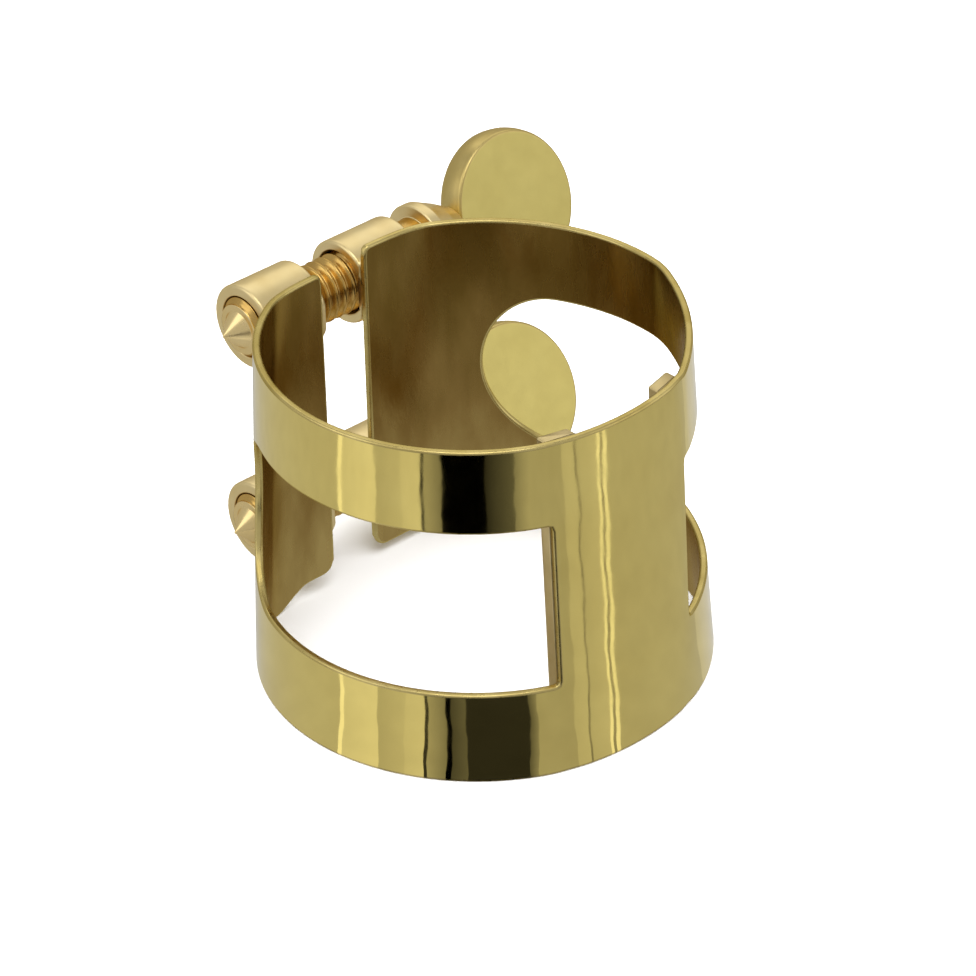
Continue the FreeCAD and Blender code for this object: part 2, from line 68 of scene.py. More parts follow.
# --- sizes, in millimetres ---------------------------------------------------

BAND_LOW, BAND_HIGH = cad_box("band")
HEIGHT = BAND_HIGH[2]
TAPER = 0.85
RADIUS_BOTTOM = -BAND_LOW[0]
RADIUS_TOP = RADIUS_BOTTOM - TAPER
SHEET = 0.5

# plan of the wall: reed plate, flatter side of the guide half, and how far each
# corner between two arcs is rounded
PLATE_HALF = 5.6
PLATE_RADIUS = 17.0
SIDE_TOP = 22.0
SIDE_BOTTOM = 16.0
SIDE_JOIN = -1.9
PLATE_BEND = 0.12
SIDE_BEND = 0.2
END_BEND = 0.9

EDGE_ROUND = 0.18
EDGE_STEPS = 5

WINDOW_LOW = 6.2
WINDOW_HIGH = 17.4
WINDOW_FRONT = 5.45
WINDOW_CORNER = 0.25

# angle of the middle of the reed plate, which faces -Y
FRONT = -math.pi / 2

# the guide half is at +X (side 1) and the nut half at -X (side -1). The guide half
# stands further out: from the angle FULL_FROM on, its wall is a larger circle about
# a centre of its own.
GUIDE, NUT = 1, -1
FULL_CENTRE = (0.75, 0.45)
FULL_GROW = 0.1
FULL_FROM = math.radians(-35)
END_PLANE = {GUIDE: 13.1, NUT: 12.5}
WINDOW_BACK_Y = {GUIDE: 10.8, NUT: 9.8}
GAP_EDGE = {GUIDE: 2.1, NUT: 1.9}
GAP_CORNER = 0.5
FOOT_CORNER = 1.0
FOOT_HEIGHT = {GUIDE: 0.6, NUT: 1.1}
FOOT_LEVEL_X = {GUIDE: 5.1, NUT: 4.4}
FOOT_REACH_X = {GUIDE: 7.3, NUT: 6.6}
FOOT_ROUNDS = (1.6, 1.8)

# how the wall is divided into patches: distances beyond a window's front edge and
# round end, and numbers of faces
PATCH_FRONT = 1.4
PATCH_BACK = 1.5
LONG_COUNT = 96
SHORT_COUNT = 36
END_COUNT = 44
PLATE_COUNT = 14
WINDOW_LAYERS = 9

# a search along the wall goes past its free end
SEARCH_REACH = 50
SEARCH_COUNT = 3001

# an end plate's outline starts at END_DRAW_X, and its points beyond END_KEEP_X are
# dropped, where it has become the rim
END_DRAW_X = 12.0
END_KEEP_X = 9.0

RAIL_INNER = 3.3
RAIL_OUTER = 5.35
RAIL_THICK = 0.9
RAIL_ROUND = 0.12
RAIL_FACE_ROUND = 0.16
RAIL_BACK_ROUND = 0.03
RAIL_GAP = 0.02
RAIL_COUNT = 72

# a fillet of solder fades over the length POST_FADE to the share POST_BARE of its size
POST_ROUND = 0.22
POST_FILLET = 0.5
POST_FADE = 0.9
POST_BARE = 0.03
POST_COUNT = 120
POST_RINGS = 32
POST_BORE = {GUIDE: 2.15, NUT: 2.05}
BORE_ROUND = 0.12

TIP_START = -7.5
TIP_LENGTH = 1.3
TIP_RADIUS = 1.25
THREAD_RADIUS = 2.0
THREAD_DEPTH = 0.36
THREAD_PITCH = 0.7
THREAD_END = 3.6
THREAD_STEPS = 16
CREST_SHARPNESS = 0.8

# lengths over which the ridges grow and die out, and the core rises to the shank
THREAD_FADE_IN = 0.4
THREAD_FADE_OUT = 0.2
CORE_FADE = 0.3

SHANK_RADIUS = 1.95
FLANGE_START = 8.6
FLANGE_END = 9.3
FLANGE_RADIUS = 2.8
NECK_START = 10.6
NECK_RADIUS = 2.2
NECK_END = 12.2
TURNED_COUNT = 96

PADDLE_CENTRE = 16.45
PADDLE_WIDE = 4.8
PADDLE_TALL = 5.0
PADDLE_HALF_THICK = 1.05
PADDLE_INSET = 0.2
PADDLE_CROWN = 0.1
PADDLE_EDGE = 0.3
PADDLE_TILT = {"lower": 29.0, "upper": 20.7}

# rings of points on a face, as shares of its size, and on the rim, of its half depth
PADDLE_COUNT = 144
FACE_SHARES = (0.02, 0.3, 0.6, 0.85, 0.98)
RIM_SHARES = (0.75, 0.5, 0.25)

# camera: degrees for direction and roll, millimetres for distance, target and lens
CAMERA_AZIMUTH = -41.7
CAMERA_ELEVATION = 32.59
CAMERA_ROLL = -1.5
CAMERA_DISTANCE = 300.05
CAMERA_TARGET = (3.70, 3.37, 8.77)
CAMERA_LENS = 175.9

LEVELS = ("lower", "upper")


# --- mesh helpers ------------------------------------------------------------

def unit(vectors):
    """Vectors of the same direction, one long."""
    length = np.linalg.norm(vectors, axis=-1, keepdims=True)
    return vectors / np.maximum(length, 1e-12)


def add_object(name, data):
    made = bpy.data.objects.new(name, data)
    bpy.context.scene.collection.objects.link(made)
    return made


def finish_mesh(name, points, normals, faces, materials, slots):
    """A closed mesh with given vertex normals and one material slot for each face.
    Points are in millimetres."""
    mesh = bpy.data.meshes.new(name)
    mesh.from_pydata((np.asarray(points) * MM).tolist(), [], faces)
    for material in materials:
        mesh.materials.append(material)
    mesh.polygons.foreach_set("material_index", slots)
    mesh.calc_loop_triangles()
    triangles = mesh.loop_triangles
    corners = np.array([[mesh.vertices[i].co for i in tri.vertices] for tri in triangles])
    volume = np.einsum("ij,ij->i", corners[:, 0], np.cross(corners[:, 1], corners[:, 2])).sum()
    if volume < 0:
        mesh.flip_normals()
    mesh.polygons.foreach_set("use_smooth", [True] * len(mesh.polygons))
    mesh.update()
    mesh.normals_split_custom_set_from_vertices(unit(np.asarray(normals)).tolist())
    return add_object(name, mesh)


def lattice_normals(points, tube=False):
    """Normals of a grid of points: rings along axis 0, points round each ring."""
    round_ring = np.roll(points, -1, axis=1) - np.roll(points, 1, axis=1)
    if tube:
        along = np.roll(points, -1, axis=0) - np.roll(points, 1, axis=0)
    else:
        padded = np.concatenate([points[:1], points, points[-1:]])
        along = padded[2:] - padded[:-2]
    return unit(np.cross(round_ring, along))


def lattice(name, points, materials, tube=False, ring_materials=None):
    """Closed mesh from rings of points. A tube's last ring joins its first, and
    otherwise each end is closed by one flat face."""
    rings, count = points.shape[:2]
    normals = lattice_normals(points, tube)
    faces = []
    slots = []
    for ring in range(rings if tube else rings - 1):
        following = (ring + 1) % rings
        for j in range(count):
            k = (j + 1) % count
            faces.append((ring * count + j, ring * count + k,
                          following * count + k, following * count + j))
            slots.append(ring_materials[ring] if ring_materials else 0)
    if not tube:
        last = (rings - 1) * count
        faces.append(tuple(reversed(range(count))))
        faces.append(tuple(range(last, last + count)))
        slots += [slots[0], slots[-1]]
    flat = points.reshape(-1, 3)
    normals = normals.reshape(-1, 3)
    centre = flat.mean(axis=0)
    if np.einsum("ij,ij->", normals, flat - centre) < 0:
        normals = -normals
    return finish_mesh(name, flat, normals, faces, materials, slots)


def rounded_path(corners, radii, closed=False, step=0.1):
    """Dense points along straight runs between corners, each corner an arc."""
    corners = [np.array(c, float) for c in corners]
    count = len(corners)
    out = []
    for i, corner in enumerate(corners):
        if radii[i] == 0 or (not closed and i in (0, count - 1)):
            out.append(corner)
            continue
        back = unit(corners[i - 1] - corner)
        ahead = unit(corners[(i + 1) % count] - corner)
        half = math.acos(np.clip(back @ ahead, -1, 1)) / 2
        centre = corner + unit(back + ahead) * radii[i] / math.sin(half)
        first = corner + back * radii[i] / math.tan(half) - centre
        last = corner + ahead * radii[i] / math.tan(half) - centre
        turn = math.pi - 2 * half
        steps = max(6, math.ceil(turn * radii[i] / step))
        for t in np.linspace(0, 1, steps + 1):
            swung = first * math.sin((1 - t) * turn) + last * math.sin(t * turn)
            out.append(centre + swung / math.sin(turn))
    if closed:
        out.append(out[0])
    dense = [out[0]]
    for point in out[1:]:
        gap = np.linalg.norm(point - dense[-1])
        if gap < 1e-9:
            continue
        start = dense[-1]
        for t in np.linspace(0, 1, max(1, math.ceil(gap / step)) + 1)[1:]:
            dense.append(start + (point - start) * t)
    return np.array(dense)


class Line:
    """A dense flat path that can be read at any distance along it."""

    REACH = 0.04

    def __init__(self, points):
        self.points = points
        steps = np.linalg.norm(np.diff(points, axis=0), axis=1)
        self.lengths = np.concatenate([[0], np.cumsum(steps)])
        self.length = self.lengths[-1]

    def at(self, distance):
        return np.stack([np.interp(distance, self.lengths, self.points[:, i]) for i in range(2)],
                        axis=-1)

    def nearest(self, target):
        """Distance along the path to its point nearest the target."""
        return self.lengths[np.argmin(np.linalg.norm(self.points - np.array(target), axis=1))]

    def left_normal(self, distance):
        """Unit normal to the left of travel."""
        ahead = self.at(np.minimum(distance + self.REACH, self.length))
        behind = self.at(np.maximum(distance - self.REACH, 0))
        travel = unit(ahead - behind)
        return np.stack([-travel[..., 1], travel[..., 0]], axis=-1)


# --- the band's wall ---------------------------------------------------------

def soft_min(a, b, reach):
    """Smaller of a and b, with the corner between them rounded off."""
    blend = np.maximum(reach - np.abs(a - b), 0) / reach
    return np.minimum(a, b) - blend ** 2 * reach / 4


def circle_reach(angle, centre_x, centre_y, radius):
    """Distance from the axis to a circle round another centre, along an angle."""
    along = centre_x * np.cos(angle) + centre_y * np.sin(angle)
    square = along ** 2 - centre_x ** 2 - centre_y ** 2 + radius ** 2
    return along + np.sqrt(np.maximum(square, 0))


def wall_radius(angle, z):
    """Distance from the axis to the outside of the band. The guide half is at
    angles above that of the reed plate's middle."""
    share = z / HEIGHT
    wall = RADIUS_BOTTOM + (RADIUS_TOP - RADIUS_BOTTOM) * share
    full = wall + FULL_GROW
    side = SIDE_BOTTOM + (SIDE_TOP - SIDE_BOTTOM) * share
    bend_y = -np.sqrt(wall ** 2 - PLATE_HALF ** 2)
    plate_centre = bend_y + math.sqrt(PLATE_RADIUS ** 2 - PLATE_HALF ** 2)
    join_x = FULL_CENTRE[0] + np.sqrt(full ** 2 - (SIDE_JOIN - FULL_CENTRE[1]) ** 2)
    chord_x = join_x - PLATE_HALF
    chord_y = SIDE_JOIN - bend_y
    chord = np.hypot(chord_x, chord_y)
    rise = np.sqrt(side ** 2 - (chord / 2) ** 2)
    side_x = (join_x + PLATE_HALF) / 2 - chord_y / chord * rise
    side_y = (SIDE_JOIN + bend_y) / 2 + chord_x / chord * rise
    in_guide_half = angle > FRONT
    beyond = 2 * wall
    full_reach = np.where(angle > FULL_FROM, circle_reach(angle, *FULL_CENTRE, full), beyond)
    outline = np.where(in_guide_half, full_reach, wall)
    outline = soft_min(outline, circle_reach(angle, 0, plate_centre, PLATE_RADIUS), PLATE_BEND)
    beside = np.where(in_guide_half, circle_reach(angle, side_x, side_y, side), beyond)
    outline = soft_min(outline, beside, SIDE_BEND)
    upward = np.maximum(np.sin(angle), 1e-3)
    end_plane = np.where(in_guide_half, END_PLANE[GUIDE], END_PLANE[NUT])
    return soft_min(outline, end_plane / upward, END_BEND)


ANGLES = FRONT + np.linspace(-math.pi, math.pi, 4001)


def arc_table(z):
    """Signed distance along the outside from the middle of the reed plate."""
    radius = wall_radius(ANGLES, z)
    steps = np.hypot(np.diff(radius * np.cos(ANGLES)), np.diff(radius * np.sin(ANGLES)))
    lengths = np.concatenate([[0], np.cumsum(steps)])
    return lengths - np.interp(FRONT, ANGLES, lengths)


ARC_LOW = arc_table(0.0)
ARC_HIGH = arc_table(HEIGHT)


def wall_angle(s, z):
    """Angle round the axis of the point at distance s along the wall."""
    share = z / HEIGHT
    angle = FRONT + s / RADIUS_BOTTOM
    for _ in range(5):
        low, high = (np.interp(angle, ANGLES, table) for table in (ARC_LOW, ARC_HIGH))
        here = (1 - share) * low + share * high
        angle = angle + (s - here) / wall_radius(angle, z)
    return angle


def wall_point(s, z):
    """Point on the outside of the band."""
    angle = wall_angle(s, z)
    radius = wall_radius(angle, z)
    return np.stack([radius * np.cos(angle), radius * np.sin(angle), z + 0 * s], axis=-1)


def wall_frame(s, z):
    """Point on the outside with its directions along the wall, upward and out."""
    reach = 0.05
    along = unit(wall_point(s + reach, z) - wall_point(s - reach, z))
    upward = unit(wall_point(s, z + reach) - wall_point(s, z - reach))
    return wall_point(s, z), along, upward, unit(np.cross(along, upward))


def distance_at(z, side, test):
    """Distance along one side of the wall where test(x, y) falls to zero, seen
    from the reed plate."""
    s = np.linspace(0, SEARCH_REACH, SEARCH_COUNT) * side
    points = wall_point(s, z + 0 * s)
    value = test(points[:, 0], points[:, 1])
    index = np.nonzero((value[:-1] > 0) & (value[1:] <= 0))[0][-1]
    share = value[index] / (value[index] - value[index + 1])
    return s[index] + share * (s[index + 1] - s[index])


class Sheet:
    """Collects the vertices and faces of one half of the band. A vertex is kept
    by its place on the unrolled wall, so that neighbouring patches share it."""

    def __init__(self):
        self.places = []
        self.tilts = []
        self.index = {}
        self.faces = []
        self.slots = []

    def vertex(self, place, depth, tilt):
        """Number of the vertex at a place and a depth into the sheet. Its normal is
        given along the wall, upward and out."""
        key = (round(float(place[0]), 5), round(float(place[1]), 5), round(float(depth), 5))
        if key not in self.index:
            self.index[key] = len(self.places)
            self.places.append((place[0], place[1], depth))
            self.tilts.append(tilt)
        return self.index[key]

    def face(self, corners, slot):
        """Add a face, or nothing where its corners have run together."""
        unique = list(dict.fromkeys(corners))
        if len(unique) > 2:
            self.faces.append(tuple(unique))
            self.slots.append(slot)

    def patch(self, grid):
        """Quads over a grid of places, on the outside and on the inside."""
        for depth, tilt, slot, flip in ((0.0, (0, 0, 1), 0, False), (SHEET, (0, 0, -1), 1, True)):
            ids = [[self.vertex(place, depth, tilt) for place in row] for row in grid]
            for row, following in zip(ids, ids[1:]):
                for j in range(len(row) - 1):
                    corners = (row[j], row[j + 1], following[j + 1], following[j])
                    self.face(corners[::-1] if flip else corners, slot)

    def edge(self, places, inward, closed=False):
        """Rounded cut edge along a line of places. inward points into the sheet."""
        profile = []
        for t in np.linspace(0, math.pi / 2, EDGE_STEPS + 1):
            across, outward = math.sin(t), math.cos(t)
            profile.append((EDGE_ROUND * (1 - across), EDGE_ROUND * (1 - outward), across, outward))
        profile += [(inset, SHEET - depth, across, -outward)
                    for inset, depth, across, outward in reversed(profile)]
        strips = []
        for place, into in zip(places, inward):
            strip = []
            for inset, depth, across, outward in profile:
                tilt = (-into[0] * across, -into[1] * across, outward)
                strip.append(self.vertex(place + into * inset, depth, tilt))
            strips.append(strip)
        pairs = list(zip(strips, strips[1:]))
        if closed:
            pairs.append((strips[-1], strips[0]))
        for here, following in pairs:
            for j in range(len(profile) - 1):
                self.face((here[j], following[j], following[j + 1], here[j + 1]), 2)
        return strips

    def build(self, name, materials):
        """Roll the flat sheet up into the wall."""
        places = np.array(self.places)
        tilts = np.array(self.tilts, float)
        point, along, upward, out = wall_frame(places[:, 0], places[:, 1])
        level_out = unit(out * np.array([1, 1, 0]))
        points = point - level_out * places[:, 2:3]
        normals = along * tilts[:, 0:1] + upward * tilts[:, 1:2] + out * tilts[:, 2:3]
        return finish_mesh(name, points, normals, self.faces, materials, self.slots)


def band_half(name, side, materials):
    """One half of the band, from the middle of the reed plate to its free end."""
    sheet = Sheet()
    middle_z = (WINDOW_LOW + WINDOW_HIGH) / 2
    window_radius = (WINDOW_HIGH - WINDOW_LOW) / 2
    front = PLATE_RADIUS * math.asin(WINDOW_FRONT / PLATE_RADIUS)
    far = abs(distance_at(
        middle_z, side, lambda x, y: np.where(x * side > 0, WINDOW_BACK_Y[side] - y, 1.0)))
    plate_cut = front - PATCH_FRONT
    end_cut = far + PATCH_BACK
    flip = np.array([side, 1.0])

    # the window's edge, from the middle of its lower front corner and round
    loop = Line(rounded_path(
        [(front, WINDOW_LOW), (far, WINDOW_LOW), (far, WINDOW_HIGH), (front, WINDOW_HIGH)],
        [WINDOW_CORNER, window_radius, window_radius, WINDOW_CORNER], closed=True, step=0.08))
    diagonal = window_radius * math.sqrt(0.5)
    centre_s = far - window_radius
    marks = [loop.nearest(corner) for corner in (
        (front, WINDOW_LOW), (centre_s + diagonal, middle_z - diagonal),
        (centre_s + diagonal, middle_z + diagonal), (front, WINDOW_HIGH))]

    def loop_part(start, end, count):
        distance = np.linspace(start, end if end > start else end + loop.length, count + 1)
        distance = np.mod(distance, loop.length)
        return loop.at(distance), -loop.left_normal(distance)

    sides = [loop_part(marks[0], marks[1], LONG_COUNT), loop_part(marks[1], marks[2], SHORT_COUNT),
             loop_part(marks[2], marks[3], LONG_COUNT), loop_part(marks[3], marks[0], SHORT_COUNT)]

    # the wall between the window and the two rims
    low, high = EDGE_ROUND, HEIGHT - EDGE_ROUND

    def along_rim(places, z):
        """Places on a rim above or below the places of a window's long side."""
        along = places[:, 0]
        s = np.interp(along, [along.min(), front + WINDOW_CORNER, centre_s, along.max()],
                      [plate_cut, front + WINDOW_CORNER, centre_s, end_cut])
        return np.stack([s, 0 * s + z], axis=-1)

    column = np.linspace(low, high, SHORT_COUNT + 1)
    rim = [along_rim(sides[0][0], low),
           np.stack([0 * column + end_cut, column], axis=-1),
           along_rim(sides[2][0], high),
           np.stack([0 * column + plate_cut, column[::-1]], axis=-1)]
    for (edge_places, inward), outer in zip(sides, rim):
        inner = edge_places + inward * EDGE_ROUND
        shares = np.linspace(0, 1, WINDOW_LAYERS + 1)
        sheet.patch([(inner * (1 - t) + outer * t) * flip for t in shares])
    window_places = np.concatenate([places[:-1] for places, _ in sides])[::-1] * flip
    window_inward = np.concatenate([inward[:-1] for _, inward in sides])[::-1] * flip
    sheet.edge(window_places, window_inward, closed=True)

    # the reed plate, from its middle to where the window's patch starts
    plate_s = np.linspace(0, plate_cut, PLATE_COUNT + 1)
    sheet.patch([np.stack([0 * column + s, column], axis=-1) * flip for s in plate_s])

    # the end plate, to its free edge
    def from_x(x, z):
        """Distance along the wall to where its back passes this far from the middle."""
        return abs(distance_at(z, side, lambda px, py: np.where(py > 0, (px * side) - x, 1.0)))

    outline = rounded_path(
        [(END_DRAW_X, 0.0), (FOOT_REACH_X[side], 0.0), (FOOT_LEVEL_X[side], FOOT_HEIGHT[side]),
         (GAP_EDGE[side], FOOT_HEIGHT[side]), (GAP_EDGE[side], HEIGHT), (END_DRAW_X, HEIGHT)],
        [0, *FOOT_ROUNDS, FOOT_CORNER, GAP_CORNER, 0], step=0.12)
    unrolled = np.array([(from_x(x, z), z) for x, z in outline if x < END_KEEP_X])
    start_low = np.array([[end_cut, 0.0]])
    start_high = np.array([[end_cut, HEIGHT]])
    ahead = unrolled[:, 0] > end_cut
    free = Line(np.concatenate([start_low, unrolled[ahead], start_high]))
    foot_mark = free.nearest((from_x(GAP_EDGE[side], 1.0), FOOT_HEIGHT[side]))
    gap_mark = free.nearest((from_x(GAP_EDGE[side], HEIGHT - 1), HEIGHT))

    def free_part(start, end, count):
        distance = np.linspace(start, end, count + 1)
        return free.at(distance), free.left_normal(distance)

    foot = free_part(0, foot_mark, END_COUNT)
    edge = free_part(foot_mark, gap_mark, SHORT_COUNT)
    lid = free_part(gap_mark, free.length, END_COUNT)
    foot[1][0] = (0, 1)
    lid[1][-1] = (0, -1)
    bottom, right, top = [places + inward * EDGE_ROUND for places, inward in (foot, edge, lid)]
    top = top[::-1]
    left = rim[1]
    u = np.linspace(0, 1, END_COUNT + 1)[:, None, None]
    v = np.linspace(0, 1, SHORT_COUNT + 1)[None, :, None]
    ruled = (1 - v) * bottom[:, None] + v * top[:, None] + (1 - u) * left[None] + u * right[None]
    corners = ((1 - u) * (1 - v) * left[0] + u * (1 - v) * right[0]
               + (1 - u) * v * left[-1] + u * v * right[-1])
    sheet.patch(list((ruled - corners) * flip))

    # the cut edge round the outside of the half, from the plate's middle and back
    up, down = np.array([0.0, 1.0]), np.array([0.0, -1.0])
    rim_low = np.concatenate([np.stack([plate_s, 0 * plate_s], axis=-1)[:-1],
                              rim[0][:-1] * [1, 0]])
    rim_high = np.concatenate([(rim[2] * [1, 0] + [0, HEIGHT])[1:],
                               np.stack([plate_s, 0 * plate_s + HEIGHT], axis=-1)[::-1][1:]])
    places = np.concatenate([rim_low, foot[0], edge[0][1:], lid[0][1:], rim_high])
    inward = np.concatenate([np.tile(up, (len(rim_low), 1)), foot[1], edge[1][1:], lid[1][1:],
                             np.tile(down, (len(rim_high), 1))])
    strips = sheet.edge(places * flip, inward * flip)

    # the closing face at the middle of the plate, where the two halves meet
    outer_column = [sheet.vertex((0.0, z), 0.0, (0, 0, 1)) for z in column]
    inner_column = [sheet.vertex((0.0, z), SHEET, (0, 0, -1)) for z in column]
    cap = outer_column[:-1] + strips[-1] + inner_column[::-1][1:-1] + strips[0][::-1][:-1]
    sheet.face(cap, 1)
    return sheet.build(name, materials)


# --- turned and swept pieces -------------------------------------------------

def revolve(profile):
    """Rings about the X axis from a line of (x, radius)."""
    turn = np.linspace(0, 2 * math.pi, TURNED_COUNT, endpoint=False)
    x, radius = profile[:, 0:1], profile[:, 1:2]
    return np.stack([x + 0 * turn, radius * np.cos(turn), radius * np.sin(turn)], axis=-1)


def turned_path(corners, step=0.1):
    """Dense line through corners given as (x, radius, how far it is rounded)."""
    return rounded_path([corner[:2] for corner in corners], [corner[2] for corner in corners],
                        step=step)


def on_axis(points, level, tilt=0.0):
    """Move points made about the X axis on to one screw's axis."""
    lean = math.radians(-tilt)
    turned = points.copy()
    turned[..., 1] = points[..., 1] * math.cos(lean) - points[..., 2] * math.sin(lean)
    turned[..., 2] = points[..., 1] * math.sin(lean) + points[..., 2] * math.cos(lean)
    low, high = cad_box(f"guide_post_{level}")
    radius = (high[2] - low[2]) / 2
    return turned + np.array([0, high[1] - radius, (low[2] + high[2]) / 2])


def post_outline(turn, radius, foot, fillet):
    """Distance from a post's axis to its outside: a circle joined to the plane of
    the end plate, which is foot away, by two hollow fillets of solder."""
    reach = math.sqrt((radius + fillet) ** 2 - (foot - fillet) ** 2)
    touch = math.atan2(fillet - foot, reach)
    toe = math.atan2(-foot, reach)
    from_side = np.arcsin(np.cos(turn))
    along = reach * np.cos(from_side) + (fillet - foot) * np.sin(from_side)
    inside = np.maximum(along ** 2 - (reach ** 2 + (fillet - foot) ** 2 - fillet ** 2), 0)
    hollow = along - np.sqrt(inside)
    flat = foot / np.maximum(-np.sin(from_side), 1e-6)
    return np.select([from_side <= toe, from_side < touch], [flat, hollow], radius)


def make_post(kind, level, material):
    """A bored stub with rounded ends. Solder is drawn up between it and the end
    plate, and fades out where the post stands clear of the plate's free edge."""
    node = f"{kind}_post_{level}"
    side = NUT if kind == "nut" else GUIDE
    low, high = cad_box(node)
    radius = (high[2] - low[2]) / 2
    length = high[0] - low[0]
    bore = POST_BORE[side]
    foot = high[1] - radius - END_PLANE[side]
    turn = np.linspace(0, 2 * math.pi, POST_COUNT, endpoint=False)

    def outline_at(x):
        """The post's outside at a distance from its end at -X."""
        from_edge = abs(low[0] + x) - GAP_EDGE[side]
        from_end = length - x if side > 0 else x
        share = np.clip(min(from_edge, from_end) / POST_FADE, POST_BARE, 1)
        return post_outline(turn, radius, foot, POST_FILLET * share)

    steps = np.linspace(0, math.pi / 2, 6)
    ends = [(POST_ROUND * (1 - math.cos(t)), POST_ROUND * (1 - math.sin(t))) for t in steps]
    rings = [(x, outline_at(x) - inset) for x, inset in ends]
    for x in np.linspace(POST_ROUND, length - POST_ROUND, POST_RINGS)[1:-1]:
        rings.append((x, outline_at(x)))
    rings += [(length - x, outline_at(length - x) - inset) for x, inset in reversed(ends)]
    mouth = [(BORE_ROUND * (1 - math.cos(t)), 0 * turn + bore + BORE_ROUND * (1 - math.sin(t)))
             for t in steps]
    rings += [(length - x, reach) for x, reach in mouth]
    rings += reversed(mouth)
    points = np.array([
        np.stack([0 * turn + low[0] + x, reach * np.cos(turn), reach * np.sin(turn)], axis=-1)
        for x, reach in rings])
    piece = lattice(f"{node}_soldered", on_axis(points, level), [material], tube=True)
    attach(piece, "nut_side" if side == NUT else "root")
    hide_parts(node)


def make_spindle(level, materials):
    """Turned screw: cone tip, right-hand thread, shank, flange and domed neck."""
    node = f"screw_spindle_{level}"
    thread_start = TIP_START + TIP_LENGTH
    core = THREAD_RADIUS - THREAD_DEPTH
    cone = turned_path([
        (TIP_START + 0.02, 0.03, 0),
        (thread_start, TIP_RADIUS, 0.06),
        (thread_start, core, 0)])
    shank = turned_path([
        (THREAD_END + 0.1, SHANK_RADIUS, 0),
        (FLANGE_START, SHANK_RADIUS, 0.12),
        (FLANGE_START, FLANGE_RADIUS, 0.12),
        (FLANGE_END, FLANGE_RADIUS, 0.35),
        (NECK_START, NECK_RADIUS, 0.9),
        (NECK_END - 0.5, 1.55, 0.4),
        (NECK_END, 0.9, 0.2),
        (NECK_END, 0.05, 0)], step=0.12)
    x = np.arange(thread_start + 0.05, THREAD_END, THREAD_PITCH / THREAD_STEPS)[:, None]
    turn = np.linspace(0, 2 * math.pi, TURNED_COUNT, endpoint=False)[None]
    ridge = 0.5 + 0.5 * np.cos(2 * math.pi * (x / THREAD_PITCH + turn / (2 * math.pi)))
    rise = (np.clip((x - thread_start) / THREAD_FADE_IN, 0, 1)
            * np.clip((THREAD_END - x) / THREAD_FADE_OUT, 0, 1))
    radius = core + (SHANK_RADIUS - core) * np.clip(1 - (THREAD_END - x) / CORE_FADE, 0, 1)
    radius = np.maximum(radius, core + THREAD_DEPTH * rise * ridge ** CREST_SHARPNESS)
    thread = np.stack([x + 0 * turn, radius * np.cos(turn), radius * np.sin(turn)], axis=-1)
    points = np.concatenate([revolve(cone), thread, revolve(shank)])
    # the thread and the shank up to the flange take the darker gold of slot 1, painted shade for
    # the gap between the guide post and the flange
    shaded_shank_rings = int(np.count_nonzero(shank[:, 0] < FLANGE_START - 0.05))
    slots = [0] * len(cone) + [1] * (len(x) + shaded_shank_rings) + [2] * (len(shank) - shaded_shank_rings)
    piece = lattice(f"{node}_turned", on_axis(points, level), materials, ring_materials=slots)
    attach(piece, f"{level}_screw")
    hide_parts(node)


def make_paddle(level, materials):
    """Oval thumb plate with flat faces, crisp edges and a slightly crowned rim."""
    node = f"thumb_paddle_{level}"
    turn = np.linspace(0, 2 * math.pi, PADDLE_COUNT, endpoint=False)
    outline = np.stack([PADDLE_WIDE * np.cos(turn), PADDLE_TALL * np.sin(turn)], axis=-1)
    out = unit(np.stack([np.cos(turn) / PADDLE_WIDE, np.sin(turn) / PADDLE_TALL], axis=-1))
    face_edge = outline - out * (PADDLE_INSET + PADDLE_CROWN)
    rings = [(face_edge * share, PADDLE_HALF_THICK) for share in FACE_SHARES]
    face_count = len(rings)
    for t in np.linspace(0, math.pi / 2, 7):
        inset = PADDLE_CROWN + PADDLE_INSET * (1 - math.sin(t))
        rings.append((outline - out * inset, PADDLE_HALF_THICK - PADDLE_EDGE * (1 - math.cos(t))))
    wall = PADDLE_HALF_THICK - PADDLE_EDGE
    for share in RIM_SHARES:
        rings.append((outline - out * PADDLE_CROWN * share ** 2, wall * share))
    rings += [(outline, 0.0)] + [(flat, -thick) for flat, thick in reversed(rings)]
    points = np.array([np.stack([flat[:, 0] + PADDLE_CENTRE, 0 * turn - thick, flat[:, 1]], axis=-1)
                       for flat, thick in rings])
    slots = [0] * face_count + [1] * (len(rings) - 2 * face_count) + [0] * face_count
    piece = lattice(f"{node}_pressed", on_axis(points, level, PADDLE_TILT[level]), materials,
                    ring_materials=slots)
    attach(piece, f"{level}_screw")
    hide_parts(node)


